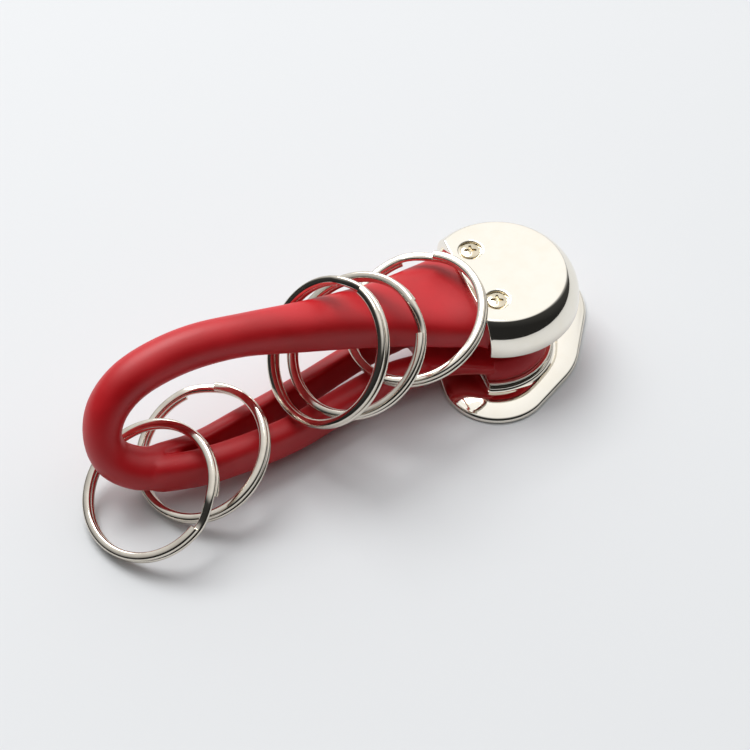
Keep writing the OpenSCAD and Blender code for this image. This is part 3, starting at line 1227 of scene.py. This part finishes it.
@dataclass
class SplitRing:
    """A ring of two turns of flattened wire, with square-cut ends."""

    index: int
    outside_d: float
    centre: tuple[float, float, float]
    azimuth_deg: float
    elevation_deg: float
    turn_deg: float
    wire_w: float = 1.5
    wire_h: float = 1.0
    turn_gap: float = 0.08
    jog_deg: float = 30.0
    end_size: float = 0.86  # the cut ends are eased to this share of the section
    path_points: int = 400

    def path(self) -> tuple[np.ndarray, np.ndarray]:
        """Give the angle and height of the wire's middle line.

        It keeps one level for a turn less the jog, climbs over the jog by a smooth
        step, and keeps the next level for a turn less the jog.

        Returns:
            Angles in radians, and heights.
        """
        level = (self.wire_h + self.turn_gap) / 2
        total = 720 - self.jog_deg
        easing, next_to_it = 0.3, 1.5  # degrees from an end to its first two rows
        middle = np.linspace(next_to_it, total - next_to_it, self.path_points)
        angle = np.concatenate([[0.0, easing], middle, [total - easing, total]])
        share = np.clip((angle - (360 - self.jog_deg)) / self.jog_deg, 0, 1)
        height = level * (2 * share * share * (3 - 2 * share) - 1)
        return np.radians(angle), height

    def section(self, sides: int = 28) -> np.ndarray:
        """Give the wire's section, a flat band with round edges, as [out, up]."""
        angle = np.linspace(0, 2 * np.pi, sides, endpoint=False)
        flat = (self.wire_w - self.wire_h) / 2
        out = flat * np.tanh(5 * np.cos(angle)) + self.wire_h / 2 * np.cos(angle)
        up = self.wire_h / 2 * np.sign(np.sin(angle)) * np.abs(np.sin(angle)) ** 0.9
        return np.stack([out, up], -1)

    def build(self, plating: bpy.types.Material) -> None:
        """Sweep the wire, put the ring in its place and dress it."""
        angle, height = self.path()
        section = self.section()
        size = np.ones(len(angle))
        size[[0, -1]] = self.end_size
        radius = (self.outside_d - self.wire_w) / 2 + section[:, 0] * size[:, None]
        grid = np.stack(
            [
                radius * np.cos(angle)[:, None],
                radius * np.sin(angle)[:, None],
                height[:, None] + section[:, 1] * size[:, None],
            ],
            -1,
        )
        grid = grid @ self.pose().T + np.array(self.centre)
        name = f"key_ring_{self.index}"
        ring = Surface().add_tube(grid).build(name)
        shade(ring, 40)
        dress(ring, plating, f"ring_{self.index}", [f"ring_{self.index}"])

    def pose(self) -> np.ndarray:
        """Give the turn of the ring: its ends' turn, then its tilt, then its heading."""
        tilt = math.radians(90 - self.elevation_deg)
        about_y = np.array(
            [[math.cos(tilt), 0, math.sin(tilt)], [0, 1, 0], [-math.sin(tilt), 0, math.cos(tilt)]]
        )
        heading, start = about_z(self.azimuth_deg), about_z(self.turn_deg)
        return heading @ about_y @ start


# ---- Studio ----


@dataclass(frozen=True)
class SoftLight:
    """A square soft light that points at the holder."""

    name: str
    place: tuple[float, float, float]
    size: float
    power: float
    target: tuple[float, float, float] = (-0.02, -0.004, 0.01)

    def build(self) -> None:
        """Make the light."""
        data = bpy.data.lights.new(self.name, "AREA")
        data.energy = self.power
        data.size = self.size
        lamp = bpy.data.objects.new(self.name, data)
        lamp.location = self.place
        lamp.rotation_euler = (
            (Vector(self.place) - Vector(self.target)).to_track_quat("Z", "Y").to_euler()
        )
        bpy.context.scene.collection.objects.link(lamp)


@dataclass
class Studio:
    """Floor, sky, light and camera."""

    floor_half: float = 1.5
    target: tuple[float, float, float] = (-0.01642, -0.00115, 0.0)
    back: tuple[float, float, float] = (-0.2198, -0.6040, 0.7660)
    distance: float = 0.359
    lens_mm: float = 100.0
    sensor_mm: float = 36.0
    near_clip: float = 0.01
    glow: tuple[float, float, float] = (0.2, 0.52, 0.83)
    sky_strength: float = 0.95

    def floor(self) -> None:
        """Lay the pale floor."""
        h = self.floor_half / MM
        grid = np.array([[[-h, -h, 0], [h, -h, 0]], [[-h, h, 0], [h, h, 0]]], float)
        floor = Surface().add_grid(grid).build("floor")
        if floor.data.polygons[0].normal.z < 0:
            floor.data.flip_normals()
        floor.data.materials.append(Paper().build())

    def sky(self) -> None:
        """Surround the scene with a studio whose large diffuser hangs above and behind."""
        world = bpy.data.worlds.new("studio")
        world.use_nodes = True
        tree = world.node_tree
        direction = add_node(tree, "ShaderNodeTexCoord").outputs["Generated"]
        facing = add_node(
            tree, "ShaderNodeVectorMath", {"operation": "DOT_PRODUCT"}, {0: direction, 1: self.glow}
        )
        ramp = add_node(tree, "ShaderNodeValToRGB", {}, {"Fac": facing.outputs["Value"]})
        levels = ((0.0, 0.02), (0.35, 0.05), (0.5, 0.5), (0.75, 1.05), (1.0, 1.2))
        set_ramp(ramp, ((position, grey(level)) for position, level in levels))
        background = tree.nodes["Background"]
        tree.links.new(ramp.outputs["Color"], background.inputs["Color"])
        background.inputs["Strength"].default_value = self.sky_strength
        bpy.context.scene.world = world

    def camera(self) -> None:
        """Place the camera."""
        data = bpy.data.cameras.new("camera")
        data.lens = self.lens_mm
        data.sensor_width = self.sensor_mm
        data.clip_start = self.near_clip
        camera = bpy.data.objects.new("camera", data)
        back = Vector(self.back).normalized()
        camera.location = Vector(self.target) + back * self.distance
        camera.rotation_euler = back.to_track_quat("Z", "Y").to_euler()
        bpy.context.scene.collection.objects.link(camera)
        bpy.context.scene.camera = camera

    def build(self) -> None:
        """Set the whole studio."""
        self.camera()
        self.floor()
        self.sky()
        SoftLight("key_light", (-0.15, 0.65, 1.0), 0.75, 9.5).build()
        view = bpy.context.scene.view_settings
        view.view_transform = "Standard"
        view.look = "None"


def main() -> None:
    """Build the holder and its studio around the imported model."""
    logging.basicConfig(level=logging.INFO, format="%(message)s")
    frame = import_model()
    Studio().build()
    rubber = SatinRubber().build()
    plating = BrightMetal("polished_nickel_plate", "#f4efe4", "#f2ecdf", (0.05, 0.07)).build()
    ring_plating = BrightMetal(
        "bright_nickel_on_spring_steel", "#e2dbcf", "#d2cabd", (0.06, 0.13), wave_mm=3.0
    ).build()
    steel = BrightMetal(
        "turned_screw_steel", "#e0d6c0", "#cabfa8", (0.12, 0.22), scratch_depth_mm=0.003
    ).build()
    Strap().build(rubber)
    Head().build(plating, steel)
    Base().build(plating, steel)
    rings = [
        SplitRing(1, 24, (-60.5, -16.6, 6.5), -161, 62, 126),
        SplitRing(2, 24, (-50.4, -12.1, 6.5), -162, 62, -113),
        SplitRing(3, 25, (-27.4, -8.6, 18.6), -167, 41, -143),
        SplitRing(4, 25, (-22, -7.3, 16.7), -160, 55, 166),
        SplitRing(5, 25, (-10, -3.3, 14.6), -168, 66, -112),
    ]
    for ring in rings:
        ring.build(ring_plating)
    for name in ("head_nut_plate", "base_nut_plate"):
        node = frame["nodes"][name]
        node.data.materials.clear()
        node.data.materials.append(steel)
        log.info("%s keeps its shape", name)


if __name__ == "__main__":
    main()
